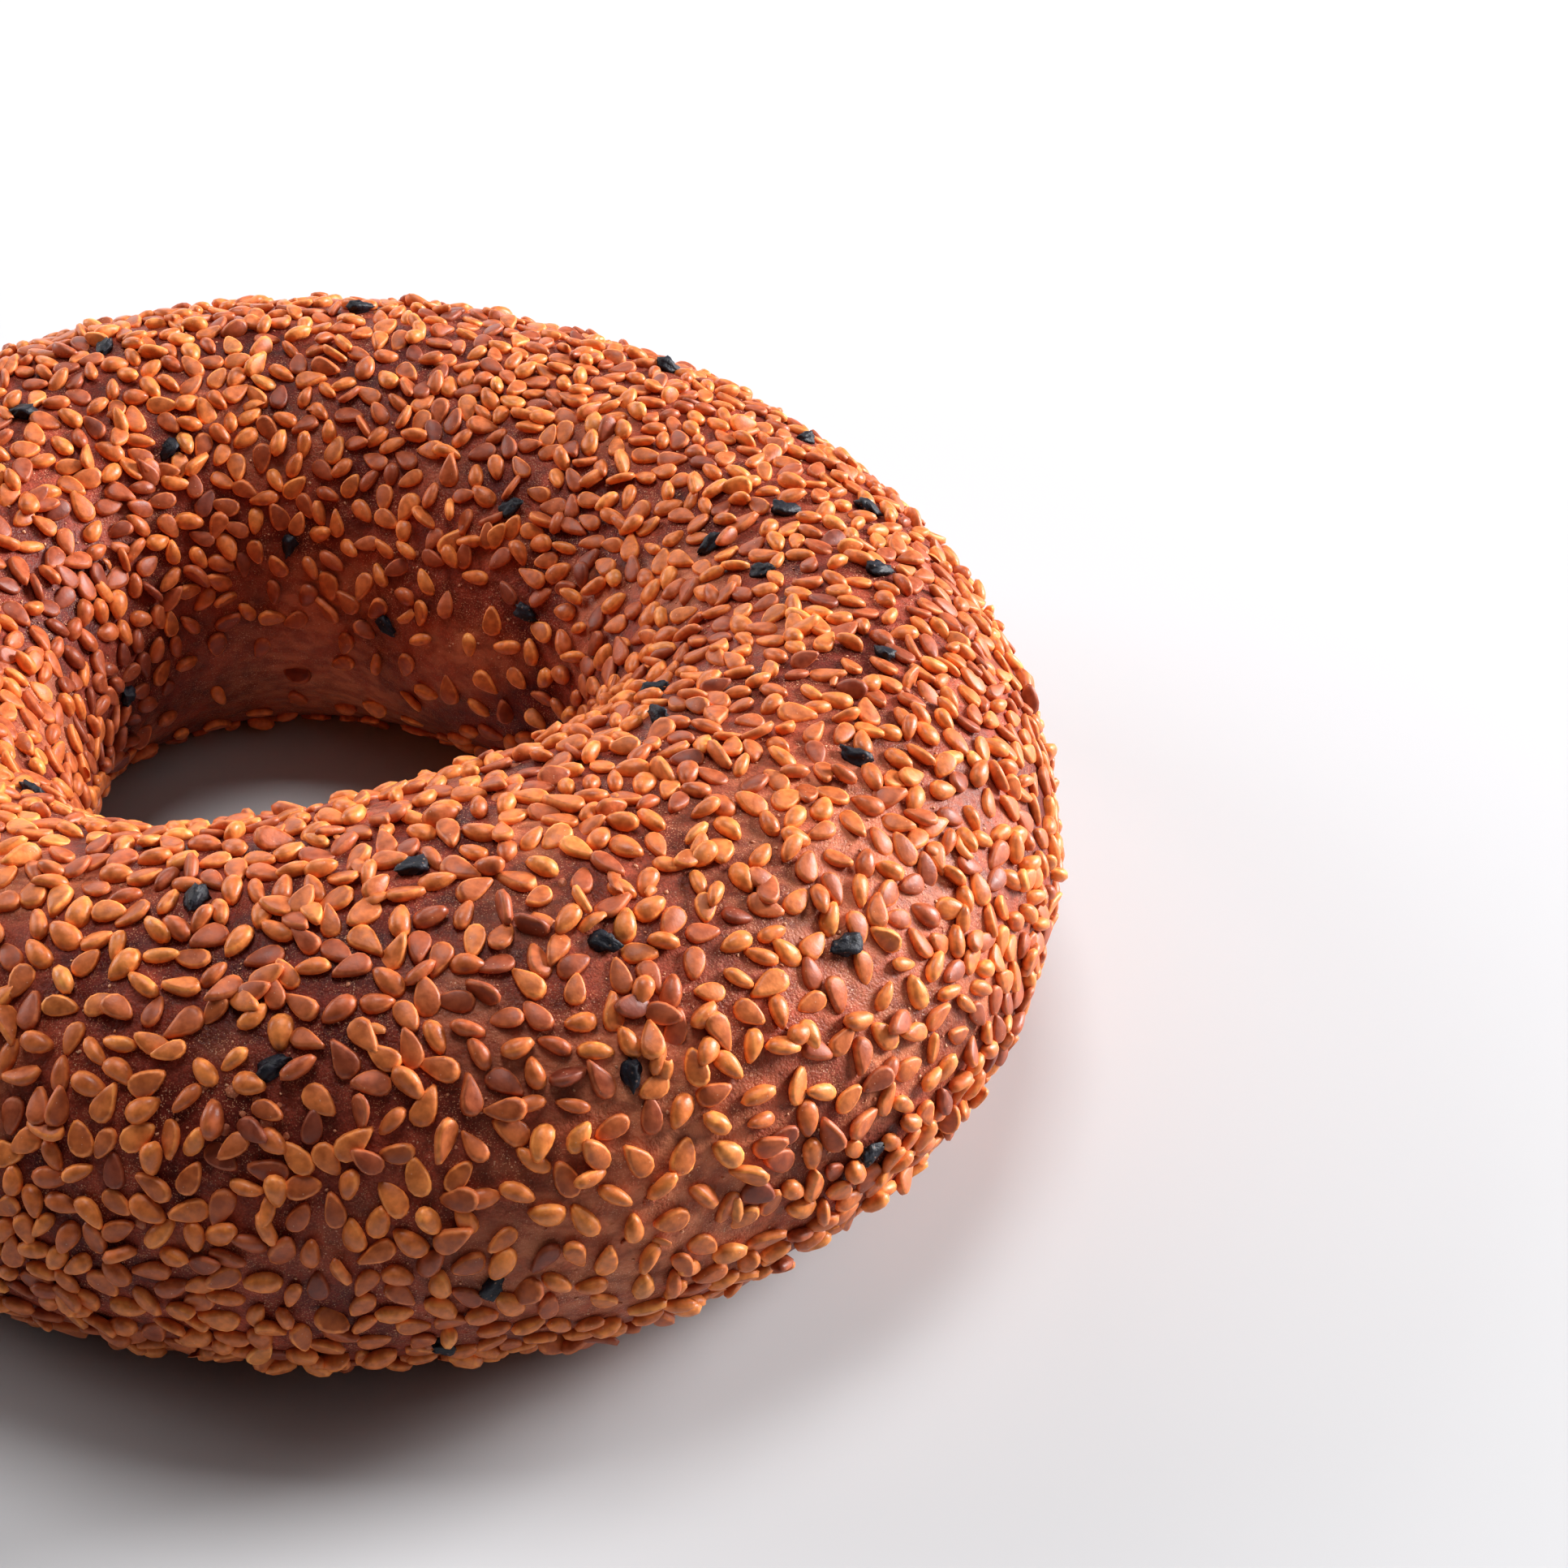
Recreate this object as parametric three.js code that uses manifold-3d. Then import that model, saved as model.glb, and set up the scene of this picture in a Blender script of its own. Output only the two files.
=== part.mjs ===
// A simit: one closed ring of browned dough, dipped in molasses water and rolled in sesame seeds.
// Millimetres, +Z up. The ring lies on z = 0, and the middle of its outline is the origin.
// The widest and nearest stretch of the ring is towards -Y.

import * as THREE from "three";
import { mergeVertices } from "three/addons/utils/BufferGeometryUtils.js";
import Module from "manifold-3d";

const wasm = await Module();
wasm.setup();

// Sizes of the dough ring
const ringRadius = 50; // from the ring's middle to the middle of the roll
const rollHalfWidth = 25.9;
const rollHalfHeight = 23.6;
const widestLevel = 0.9; // height of the widest level above the base, as a share of rollHalfHeight
const ringMiddle = new THREE.Vector2(0.44, -1.22); // puts the middle of the outline on the origin

// Slow waves that make the hand-rolled ring uneven: waves in one turn, cosine share, sine share
const radiusWaves = [
  [2, 0.019, -0.02],
  [3, 0.008, -0.005],
];
const widthWaves = [
  [1, 0.05, 0.013],
  [2, 0.003, -0.023],
  [3, -0.096, -0.036],
];
const heightWaves = [
  [1, 0.001, 0.029],
  [2, -0.024, -0.035],
];

// Facets of the dough
const ringSteps = 64;
const rollSteps = 18;

// Sizes of one seed, and how many show as relief on the crust
const seedLength = 3.4;
const seedWidth = 2.05;
const seedCrown = 0.62; // height of a seed's middle above its edge
const seedSizeSpread = 0.14; // largest share by which a seed is longer or shorter
const seedTaper = 0.7; // how much narrower a seed is towards its point
const seedRoot = 0.85; // depth that a seed reaches down from its edge into the dough
const seedLift = 0.15; // height of a seed's edge above the crust
const seedTilt = 0.12; // most that a seed leans out of the crust, in radians
const seedFacets = 6;
const seedSpacing = 8.4; // least distance between two seeds
const seedTries = 9000;
const seedLowest = -0.62; // lowest place for a seed on the roll, in radians below its widest level
const randomSeed = 20;

const waveAt = (waves, turn) =>
  waves.reduce(
    (sum, [count, cosine, sine]) =>
      sum + cosine * Math.cos(count * turn) + sine * Math.sin(count * turn),
    1,
  );

// A point of the crust. turn goes round the ring from +X, and lift goes round the roll from its outer side.
function crustPoint(turn, lift) {
  const halfWidth = rollHalfWidth * waveAt(widthWaves, turn);
  const halfHeight = rollHalfHeight * waveAt(heightWaves, turn);
  const reach =
    ringRadius * waveAt(radiusWaves, turn) + halfWidth * Math.cos(lift);
  return new THREE.Vector3(
    ringMiddle.x + reach * Math.cos(turn),
    ringMiddle.y + reach * Math.sin(turn),
    halfHeight * Math.max(0, widestLevel + Math.sin(lift)),
  );
}

function crustNormal(turn, lift) {
  const step = 1e-3;
  const along = crustPoint(turn + step, lift).sub(
    crustPoint(turn - step, lift),
  );
  const across = crustPoint(turn, lift + step).sub(
    crustPoint(turn, lift - step),
  );
  return along.cross(across).normalize();
}

// A geometry with its shared vertices merged and its collapsed triangles dropped, as a solid
function solidFrom(geometry) {
  const bare = new THREE.BufferGeometry()
    .setAttribute("position", geometry.getAttribute("position"))
    .setIndex(geometry.getIndex());
  const welded = mergeVertices(bare, 1e-4);
  const corners = Array.from(welded.getIndex().array);
  const kept = [];
  for (let i = 0; i < corners.length; i += 3) {
    const [a, b, c] = corners.slice(i, i + 3);
    if (a !== b && b !== c && c !== a) kept.push(a, b, c);
  }
  return new wasm.Manifold(
    new wasm.Mesh({
      numProp: 3,
      vertProperties: new Float32Array(welded.getAttribute("position").array),
      triVerts: new Uint32Array(kept),
    }),
  );
}

function geometryFrom(solid) {
  const mesh = solid.getMesh();
  const places = new Float32Array(mesh.numVert * 3);
  for (let i = 0; i < mesh.numVert; i++)
    places.set(
      mesh.vertProperties.subarray(i * mesh.numProp, i * mesh.numProp + 3),
      i * 3,
    );
  const geometry = new THREE.BufferGeometry()
    .setAttribute("position", new THREE.BufferAttribute(places, 3))
    .setIndex(new THREE.BufferAttribute(mesh.triVerts, 1));
  geometry.computeVertexNormals();
  return geometry;
}

// The dough is a lathed ring whose vertices are then moved onto the uneven crust.
// Its section runs over the roll from the outer edge of the flat base to the inner one, and back.
function makeDough() {
  const baseEdge = -Math.asin(widestLevel);
  const lifts = [];
  for (let i = 0; i <= rollSteps; i++)
    lifts.push(baseEdge + (i / rollSteps) * (Math.PI - 2 * baseEdge));
  lifts.push(baseEdge);
  const section = lifts.map(
    (lift) => new THREE.Vector2(ringRadius + Math.cos(lift), Math.sin(lift)),
  );
  const geometry = new THREE.LatheGeometry(section, ringSteps);
  const places = geometry.getAttribute("position");
  for (let i = 0; i < places.count; i++) {
    const turn = (2 * Math.PI * (Math.floor(i / lifts.length) % ringSteps)) / ringSteps;
    const point = crustPoint(turn, lifts[i % lifts.length]);
    places.setXYZ(i, point.x, point.y, point.z);
  }
  return solidFrom(geometry);
}

// A seed is a flattened teardrop along X, round at -X and pointed at +X.
function makeSeed() {
  const profile = [
    new THREE.Vector2(0, -seedRoot),
    new THREE.Vector2(0.5, 0),
    new THREE.Vector2(0, seedCrown),
  ];
  const geometry = new THREE.LatheGeometry(profile, seedFacets, Math.PI / 2);
  geometry.rotateX(Math.PI / 2);
  const places = geometry.getAttribute("position");
  for (let i = 0; i < places.count; i++)
    places.setY(i, places.getY(i) * (1 - seedTaper * places.getX(i)));
  return geometry.scale(seedLength, seedWidth, 1);
}

// A seeded source of even random numbers from 0 to 1
function randomSource(start) {
  let state = start;
  return () => {
    state = (state + 0x6d2b79f5) | 0;
    let mixed = Math.imul(state ^ (state >>> 15), 1 | state);
    mixed = (mixed + Math.imul(mixed ^ (mixed >>> 7), 61 | mixed)) ^ mixed;
    return ((mixed ^ (mixed >>> 14)) >>> 0) / 4294967296;
  };
}

// Places for the seeds: darts thrown evenly over the crust, kept where no seed lies near
function seedPlaces(random) {
  const widestReach = ringRadius + rollHalfWidth;
  const places = [];
  for (let i = 0; i < seedTries; i++) {
    const turn = 2 * Math.PI * random();
    const lift = seedLowest + (Math.PI - 2 * seedLowest) * random();
    const reach = ringRadius + rollHalfWidth * Math.cos(lift);
    if (random() * widestReach > reach) continue;
    const middle = crustPoint(turn, lift);
    if (places.every((p) => p.middle.distanceTo(middle) > seedSpacing))
      places.push({ middle, normal: crustNormal(turn, lift) });
  }
  return places;
}

function makeSeeds() {
  const random = randomSource(randomSeed);
  const shape = makeSeed();
  return seedPlaces(random).map(({ middle, normal }) => {
    const size = 1 + seedSizeSpread * (2 * random() - 1);
    const onCrust = new THREE.Quaternion().setFromUnitVectors(
      new THREE.Vector3(0, 0, 1),
      normal,
    );
    const lean = new THREE.Quaternion().setFromEuler(
      new THREE.Euler(0, seedTilt * (2 * random() - 1), 2 * Math.PI * random(), "ZYX"),
    );
    const place = new THREE.Matrix4().compose(
      middle.clone().addScaledVector(normal, seedLift),
      onCrust.multiply(lean),
      new THREE.Vector3(size, size, size),
    );
    return solidFrom(shape.clone().applyMatrix4(place));
  });
}

const seeds = makeSeeds();
const bread = wasm.Manifold.union([makeDough(), ...seeds]);

const crustColour = new THREE.MeshStandardMaterial({
  color: 0xb5673c,
  roughness: 0.6,
  metalness: 0,
});

const simit = new THREE.Mesh(geometryFrom(bread), crustColour);
simit.name = "simit";

const part = new THREE.Group();
part.add(simit);
export default part;
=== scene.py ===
import math

import bmesh
import bpy
import numpy as np
from mathutils import Matrix, Vector, noise
from mathutils.bvhtree import BVHTree
from mathutils.kdtree import KDTree


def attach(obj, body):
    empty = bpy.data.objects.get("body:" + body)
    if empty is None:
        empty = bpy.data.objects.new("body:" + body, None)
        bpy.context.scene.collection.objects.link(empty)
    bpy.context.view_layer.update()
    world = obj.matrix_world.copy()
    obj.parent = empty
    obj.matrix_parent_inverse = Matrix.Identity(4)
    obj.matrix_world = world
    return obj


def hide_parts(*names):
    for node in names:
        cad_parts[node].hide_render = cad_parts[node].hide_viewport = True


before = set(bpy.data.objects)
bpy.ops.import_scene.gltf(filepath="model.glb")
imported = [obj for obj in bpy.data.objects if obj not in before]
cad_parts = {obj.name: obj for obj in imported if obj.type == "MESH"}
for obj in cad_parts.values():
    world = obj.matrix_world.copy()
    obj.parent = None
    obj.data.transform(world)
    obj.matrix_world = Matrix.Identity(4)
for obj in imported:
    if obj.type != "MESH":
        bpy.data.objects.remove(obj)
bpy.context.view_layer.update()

# A simit: a plump ring of browned dough, covered in toasted sesame seeds with a few black seeds among them.
# Metres, +Z up, in the frame of the CAD part. The ring lies on z = 0.

mm = 0.001
degree = math.pi / 180
draw = np.random.default_rng(416)  # every random draw comes from here, in this order

photo = {
    "size": 1932,    # pixels each way
    "focal": 3100,   # focal length in those pixels
    "aim": (48.66 * mm, 25.32 * mm, 0.0),
    "distance": 297.96 * mm,
    "elevation": 36.5 * degree,
    "roll": 0.025,
    "sensor": 36.0,  # mm
}

ring = {
    "middle": (0.44 * mm, -1.22 * mm),
    "radius": 50 * mm,      # to the middle of the roll
    "halfWidth": 25.9 * mm,
    "halfHeight": 23.6 * mm,
    "widestLevel": 0.9,     # above the base, as a share of halfHeight
    "baseRounding": 0.045,  # softens the edge of the flat base
    "seedRoom": 1.0 * mm,   # the dough lies this far inside the outline that the seeds reach
    "radiusWaves": [(2, 0.019, -0.02), (3, 0.008, -0.005)],
    "widthWaves": [(1, 0.05, 0.013), (2, 0.003, -0.023), (3, -0.096, -0.036)],
    "heightWaves": [(1, 0.001, 0.029), (2, -0.024, -0.035)],
}

crust = {
    "ringSteps": 436,
    "rollSteps": 218,
    "lumpSize": 15 * mm,
    "lumpHeight": 0.45 * mm,
    "bumpSize": 4.5 * mm,
    "bumpHeight": 0.16 * mm,
    "grainSize": 1.5 * mm,
    "grainHeight": 0.05 * mm,
    "levelBelow": 1 * mm,  # no lumps up to here, and full ones fadeHeight above it
    "fadeHeight": 6 * mm,
    "baseGap": 0.12 * mm,  # the seeds under the base reach this far out of it
}


# The uneven ring as a formula: turn goes round the ring from +X, lift round the roll from its outer side
def waveAt(waves, turn):
    return 1 + sum(c * np.cos(n * turn) + s * np.sin(n * turn) for n, c, s in waves)


def rollSizes(turn):
    radius = ring["radius"] * waveAt(ring["radiusWaves"], turn)
    halfWidth = ring["halfWidth"] * waveAt(ring["widthWaves"], turn) - ring["seedRoom"]
    halfHeight = ring["halfHeight"] * waveAt(ring["heightWaves"], turn) - 0.5 * ring["seedRoom"]
    return radius, halfWidth, halfHeight


def crustPoints(turn, lift):
    radius, halfWidth, halfHeight = rollSizes(turn)
    reach = radius + halfWidth * np.cos(lift)
    level = ring["widestLevel"] + np.sin(lift)
    level = 0.5 * (level + np.sqrt(level ** 2 + ring["baseRounding"] ** 2))
    x = ring["middle"][0] + reach * np.cos(turn)
    y = ring["middle"][1] + reach * np.sin(turn)
    return np.stack([x, y, halfHeight * level + crust["baseGap"]], axis=-1)


def unit(vectors):
    return vectors / np.linalg.norm(vectors, axis=-1, keepdims=True)


# At each place: the point, the way round the ring, the way up the roll and the normal.
# The last two are the metres that one radian of turn and of lift make.
def crustFrames(turn, lift):
    step = 1e-3
    along = (crustPoints(turn + step, lift) - crustPoints(turn - step, lift)) / (2 * step)
    across = (crustPoints(turn, lift + step) - crustPoints(turn, lift - step)) / (2 * step)
    alongSize = np.linalg.norm(along, axis=-1)
    acrossSize = np.linalg.norm(across, axis=-1)
    along = unit(along)
    normal = unit(np.cross(along, across))
    return crustPoints(turn, lift), along, np.cross(normal, along), normal, alongSize, acrossSize


# Soft noise from -1 to 1 with blobs of one size; start only picks another stretch of it
def noiseAt(point, size, start):
    return noise.noise(point / size + Vector(start))


def lumpAt(point):
    lump = noiseAt(point, crust["lumpSize"], (3.1, 7.4, 1.2))
    bump = noiseAt(point, crust["bumpSize"], (8.3, 2.2, 5.7))
    fade = min(1, max(0, (point.z - crust["levelBelow"]) / crust["fadeHeight"]))
    return fade * (crust["lumpHeight"] * lump + crust["bumpHeight"] * bump)


def lumpsAt(points):
    return np.array([lumpAt(Vector(p)) for p in points])


def addObject(name, data):
    thing = bpy.data.objects.new(name, data)
    bpy.context.scene.collection.objects.link(thing)
    return thing


# Camera at the photo's place
def cameraMatrix():
    elevation = photo["elevation"]
    back = Vector((0, -math.cos(elevation), math.sin(elevation)))
    right = Vector((1, 0, 0))
    up = back.cross(right)
    turned = Matrix((right, up, back)).transposed().to_4x4() @ Matrix.Rotation(photo["roll"], 4, "Z")
    return Matrix.Translation(Vector(photo["aim"]) + photo["distance"] * back) @ turned


def makeCamera():
    data = bpy.data.cameras.new("photoCamera")
    data.sensor_fit = "HORIZONTAL"
    data.sensor_width = photo["sensor"]
    data.lens = photo["focal"] * photo["sensor"] / photo["size"]
    data.clip_start = 0.01
    camera = addObject("photoCamera", data)
    camera.matrix_world = cameraMatrix()
    bpy.context.scene.camera = camera


makeCamera()
print("camera set")


# The dough
def makeCrust():
    bm = bmesh.new()
    stand = Matrix.Translation((ring["radius"], 0, 0)) @ Matrix.Rotation(math.pi / 2, 4, "X")
    bmesh.ops.create_circle(bm, segments=crust["rollSteps"], radius=ring["halfWidth"], matrix=stand)
    bmesh.ops.spin(bm, geom=bm.verts[:] + bm.edges[:], cent=(0, 0, 0), axis=(0, 0, 1),
                   angle=2 * math.pi, steps=crust["ringSteps"], use_merge=True)
    plain = np.array([v.co for v in bm.verts])
    turn = np.arctan2(plain[:, 1], plain[:, 0])
    lift = np.arctan2(plain[:, 2], np.hypot(plain[:, 0], plain[:, 1]) - ring["radius"])
    points, _, _, normals, _, _ = crustFrames(turn, lift)
    for vert, point, normal in zip(bm.verts, points, normals):
        place = Vector(point)
        grain = noiseAt(place, crust["grainSize"], (1.7, 4.9, 9.2))
        height = lumpAt(place) + crust["grainHeight"] * grain
        vert.co = place + height * Vector(normal)
        vert.co.z = max(vert.co.z, 0.5 * crust["baseGap"])
    bmesh.ops.recalc_face_normals(bm, faces=bm.faces[:])
    return bm


doughMesh = makeCrust()
doughTree = BVHTree.FromBMesh(doughMesh)
print("dough ring shaped:", len(doughMesh.faces), "faces")


# Where a pixel of the photo meets the dough, as turn and lift
def atPixel(pixel):
    matrix = cameraMatrix()
    half = photo["size"] / 2
    ray = matrix.to_3x3() @ Vector((pixel[0] - half, half - pixel[1], -photo["focal"]))
    found = doughTree.ray_cast(matrix.translation, ray.normalized())[0]
    x = found.x - ring["middle"][0]
    y = found.y - ring["middle"][1]
    turn = math.atan2(y, x)
    radius, halfWidth, halfHeight = rollSizes(turn)
    out = (math.hypot(x, y) - radius) / halfWidth
    rise = (found.z - crust["baseGap"]) / halfHeight - ring["widestLevel"]
    return turn, math.atan2(rise, out)


# How much of the soft patches there is at each point.
# A patch is a pixel of the photo, a radius in mm and the amount at its middle.
def patchesAt(points, patches):
    total = np.zeros(len(points))
    for pixel, radius, depth in patches:
        middle = crustPoints(*atPixel(pixel))
        away = np.linalg.norm(points - middle, axis=1) / (radius * mm)
        total += depth * np.exp(-away ** 2)
    return total


# Creases and dents that the photo shows in the dough, with their heights in mm
dents = [
    ((1042, 1075), 1.6, -0.35),
    ((1026, 1110), 1.6, -0.40),
    ((1012, 1145), 1.6, -0.40),
    ((1004, 1180), 1.6, -0.30),
    ((1062, 1120), 2.6, 0.40),
    ((640, 1090), 1.5, -0.30),
    ((672, 1082), 1.5, -0.35),
    ((704, 1084), 1.5, -0.30),
    ((690, 1120), 3.0, 0.35),
    ((872, 1465), 1.3, -0.55),
    ((290, 1370), 3.5, 0.30),
]


def pressDents():
    doughMesh.normal_update()
    heights = patchesAt(np.array([v.co for v in doughMesh.verts]), dents).tolist()
    for vert, height in zip(doughMesh.verts, heights):
        vert.co += vert.normal * height * mm


pressDents()

# Patches where fewer seeds stuck, with the share of the seeds that is missing
sparsePatches = [
    ((960, 1110), 8, 0.40),
    ((1120, 1240), 6, 0.25),
    ((800, 1510), 8, 0.62),
    ((640, 1120), 4, 0.35),
    ((300, 1370), 4, 0.30),
    ((1180, 960), 6, 0.30),
    ((430, 840), 14, 0.85),
    ((600, 810), 9, 0.75),
    ((250, 870), 9, 0.80),
]

# Patches where they lie closest
densePatches = [
    ((300, 1050), 10, 0.30),
    ((780, 930), 9, 0.45),
    ((1150, 830), 10, 0.40),
    ((120, 1500), 12, 0.25),
    ((1260, 1100), 8, 0.30),
    ((700, 560), 22, 0.30),
    ((200, 560), 22, 0.30),
]

# Patches that are darker, crust and seeds alike, and paler ones below 0. They stand partly for uneven baking
# and partly for painted shade, and the paler ones for painted light.
bakedAndShadedPatches = [
    ((500, 1330), 18, 0.15),
    ((150, 880), 18, 0.33),
    ((420, 640), 14, 0.10),
    ((60, 720), 10, 0.12),
    ((980, 1400), 8, 0.05),
    ((90, 1420), 11, -0.10),
    ((810, 1520), 8, -0.10),
    ((1020, 620), 11, -0.08),
]

# Black seeds that the photo shows
blackPixels = [
    (241, 1112), (509, 1074), (745, 1164), (337, 1315), (779, 1326), (607, 1580), (1040, 1166),
    (1052, 935), (1071, 1416), (812, 888), (807, 853), (694, 900), (547, 1655), (1086, 808),
    (1083, 706), (942, 705), (969, 633), (875, 674), (208, 555), (357, 672), (154, 854),
    (129, 433), (633, 627), (651, 756), (444, 386), (478, 770), (38, 980),
]

scatter = {
    "spacing": 2.11 * mm,     # least distance between two seeds' middles at an even share of 1
    "candidates": 90000,
    "innerShare": 0.55,       # of the seeds on the lower inner wall
    "lowerShare": 0.64,       # on the lower outer side
    "baseShare": 0.7,         # on the flat base
    "wander": 9 * mm,         # size of the chance patches
    "wanderShare": 0.22,
    "usualLength": 3.3 * mm,  # of a sesame seed, before its kind changes it
    "blackLength": 2.8 * mm,  # the room along itself that a black seed keeps
    "blackRoom": 2.0 * mm,    # no sesame seed starts nearer than this to a black one
    "hiddenBlack": 26,        # black seeds on the sides that the photo doesn't show
}

# Pushing overlapping seeds apart
spread = {
    "rounds": 40,
    "searchEvery": 9,   # rounds between two searches for pairs
    "reach": 4.6 * mm,  # pairs further apart than this can't touch
    "push": 0.3,        # share of an overlap that one round takes away
    "turnEase": 0.09,   # how easily a seed turns
    "mostTurn": 0.25,   # radians in one round
    # discs that stand for a seed's outline: place along it and radius, as shares of its length
    "discs": [(-0.17, 0.285), (0.17, 0.215)],
}

# Seeds that lie half on another one
stacked = {
    "count": 540,
    "tries": 4,                     # carriers tried for each of them
    "ways": 8,                      # ways tried round each carrier
    "probeReach": 2.7 * mm,         # the crowd is measured round this far from the carrier's middle
    "probeRadius": 2.2 * mm,
    "reach": (1.5 * mm, 1.9 * mm),  # between the two middles
    "length": (0.88, 1.08),         # shares of the usual length
    "lean": (0.20, 0.36),
    "rise": (0.34 * mm, 0.50 * mm),
    "liftRange": (-0.8, 2.6),       # none on the base or low on the sides
}


def patchShares(points):
    return np.clip(1 - patchesAt(points, sparsePatches), 0, 1) * (1 + patchesAt(points, densePatches))


def seedShares(turn, lift, points):
    wander = np.array([noiseAt(Vector(p), scatter["wander"], (2, 6, 4)) for p in points])
    share = patchShares(points) * (1 + scatter["wanderShare"] * 2 * wander)
    below = np.clip(-np.sin(lift) / 0.6, 0, 1)  # 0 above the widest level, 1 near the base
    inward = (np.cos(lift) < 0).astype(float)
    share *= 1 - (1 - scatter["innerShare"]) * below * inward
    share *= 1 - (1 - scatter["lowerShare"]) * below * (1 - inward)
    onBase = (ring["widestLevel"] + np.sin(lift) < 0.02).astype(float)
    share *= 1 - (1 - scatter["baseShare"]) * onBase
    return np.clip(share, 0.08, 1.6)


def evenDraws(count):
    turn = draw.uniform(0, 2 * math.pi, count)
    lift = draw.uniform(-math.pi, math.pi, count)
    _, _, _, _, alongSize, acrossSize = crustFrames(turn, lift)
    area = alongSize * acrossSize
    kept = draw.uniform(0, area.max(), count) < area
    return turn[kept], lift[kept]


def treeOf(points):
    tree = KDTree(len(points))
    for i, point in enumerate(points):
        tree.insert(point, i)
    tree.balance()
    return tree


# Seeds are kept in the order drawn, and each one clears the candidates that lie too near to it
def seedSpots(taken):
    turn, lift = evenDraws(scatter["candidates"])
    points = crustPoints(turn, lift)
    spacing = scatter["spacing"] / np.sqrt(seedShares(turn, lift, points))
    tree = treeOf(points)
    free = np.ones(len(points), bool)
    for point in taken:
        for _, i, _ in tree.find_range(point, scatter["blackRoom"]):
            free[i] = False
    kept = []
    for i, point in enumerate(points):
        if not free[i]:
            continue
        kept.append(i)
        for _, j, _ in tree.find_range(point, spacing[i]):
            free[j] = False
    return turn[kept], lift[kept]


def nearPairs(points, reach):
    tree = treeOf(points)
    pairs = [(i, j) for i, p in enumerate(points) for _, j, _ in tree.find_range(p, reach) if j > i]
    return np.array(pairs).T


def addUp(index, vectors, count):
    return np.stack([np.bincount(index, vectors[:, k], count) for k in range(3)], axis=1)


# Pushes overlapping seeds apart and turns them past each other
def spreadSeeds(seeds, fixed):
    count = len(seeds["turn"])
    length, girth = seeds["length"], seeds["girth"]
    loose = np.ones(count)
    loose[:fixed] = 0
    for roundNumber in range(spread["rounds"]):
        points, along, across, normal, alongSize, acrossSize = crustFrames(seeds["turn"], seeds["lift"])
        if roundNumber % spread["searchEvery"] == 0:
            first, second = nearPairs(points, spread["reach"])
        angle = seeds["angle"][:, None]
        ahead = np.cos(angle) * along + np.sin(angle) * across
        push = np.zeros((count, 3))
        twist = np.zeros(count)
        for placeA, radiusA in spread["discs"]:
            armA = ahead[first] * (placeA * length[first])[:, None]
            for placeB, radiusB in spread["discs"]:
                armB = ahead[second] * (placeB * length[second])[:, None]
                gap = points[second] + armB - points[first] - armA
                distance = np.linalg.norm(gap, axis=1) + 1e-9
                wanted = radiusA * length[first] * girth[first] + radiusB * length[second] * girth[second]
                over = np.clip(wanted - distance, 0, None)
                move = gap / distance[:, None] * (spread["push"] * over)[:, None]
                push += addUp(second, move, count) - addUp(first, move, count)
                turnA = np.einsum("ij,ij->i", np.cross(armA, -move), normal[first])
                turnB = np.einsum("ij,ij->i", np.cross(armB, move), normal[second])
                twist += np.bincount(first, turnA, count) + np.bincount(second, turnB, count)
        seeds["turn"] += loose * np.einsum("ij,ij->i", push, along) / alongSize
        seeds["lift"] += loose * np.einsum("ij,ij->i", push, across) / acrossSize
        turned = twist / (spread["turnEase"] * length ** 2)
        seeds["angle"] += loose * np.clip(turned, -spread["mostTurn"], spread["mostTurn"])


# Seed bodies are one unit long with the point at +X. Levels are shares of the outline and of the thickness.
flatLevels = [(0.66, -0.46), (1.0, -0.08), (0.93, 0.26), (0.74, 0.35)]
domeLevels = [(0.62, -0.44), (1.0, -0.06), (0.86, 0.27), (0.50, 0.45)]
tippedLevels = [(0.66, -0.46), (1.0, -0.06), (0.90, 0.34), (0.62, 0.40)]

# girth is the width as a share of the length, middle the crown's height, rise the height above the crust,
# tone the colour from dark to pale, face how far the browner face shows
sesameKinds = {
    "sesameFlat": {
        "share": 0.25, "length": 3.20 * mm, "girth": 0.61, "thickness": 1.08 * mm,
        "taper": 0.22, "point": 0.03, "levels": flatLevels, "middle": 0.38,
        "rise": 0.24 * mm, "tone": 0.54, "face": 1.0, "roughness": 0.46,
    },
    "sesameBrown": {
        "share": 0.19, "length": 3.14 * mm, "girth": 0.60, "thickness": 1.05 * mm,
        "taper": 0.28, "point": 0.05, "levels": flatLevels, "middle": 0.40,
        "rise": 0.20 * mm, "tone": 0.36, "face": 0.8, "roughness": 0.48,
    },
    "sesamePlump": {
        "share": 0.26, "length": 3.12 * mm, "girth": 0.61, "thickness": 1.40 * mm,
        "taper": 0.20, "point": 0.03, "levels": domeLevels, "middle": 0.5,
        "rise": 0.28 * mm, "tone": 0.64, "face": 0.4, "roughness": 0.40,
    },
    "sesameSlim": {
        "share": 0.17, "length": 3.20 * mm, "girth": 0.47, "thickness": 1.25 * mm,
        "taper": 0.18, "point": 0.02, "levels": domeLevels, "middle": 0.5,
        "rise": 0.30 * mm, "tone": 0.60, "face": 0.4, "roughness": 0.42,
    },
    "sesameTipped": {
        "share": 0.13, "length": 3.32 * mm, "girth": 0.58, "thickness": 1.18 * mm,
        "taper": 0.36, "point": 0.12, "levels": tippedLevels, "middle": 0.43,
        "rise": 0.25 * mm, "tone": 0.50, "face": 0.6, "roughness": 0.46,
    },
}
seedSides = 14
bodiesPerKind = 4


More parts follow.
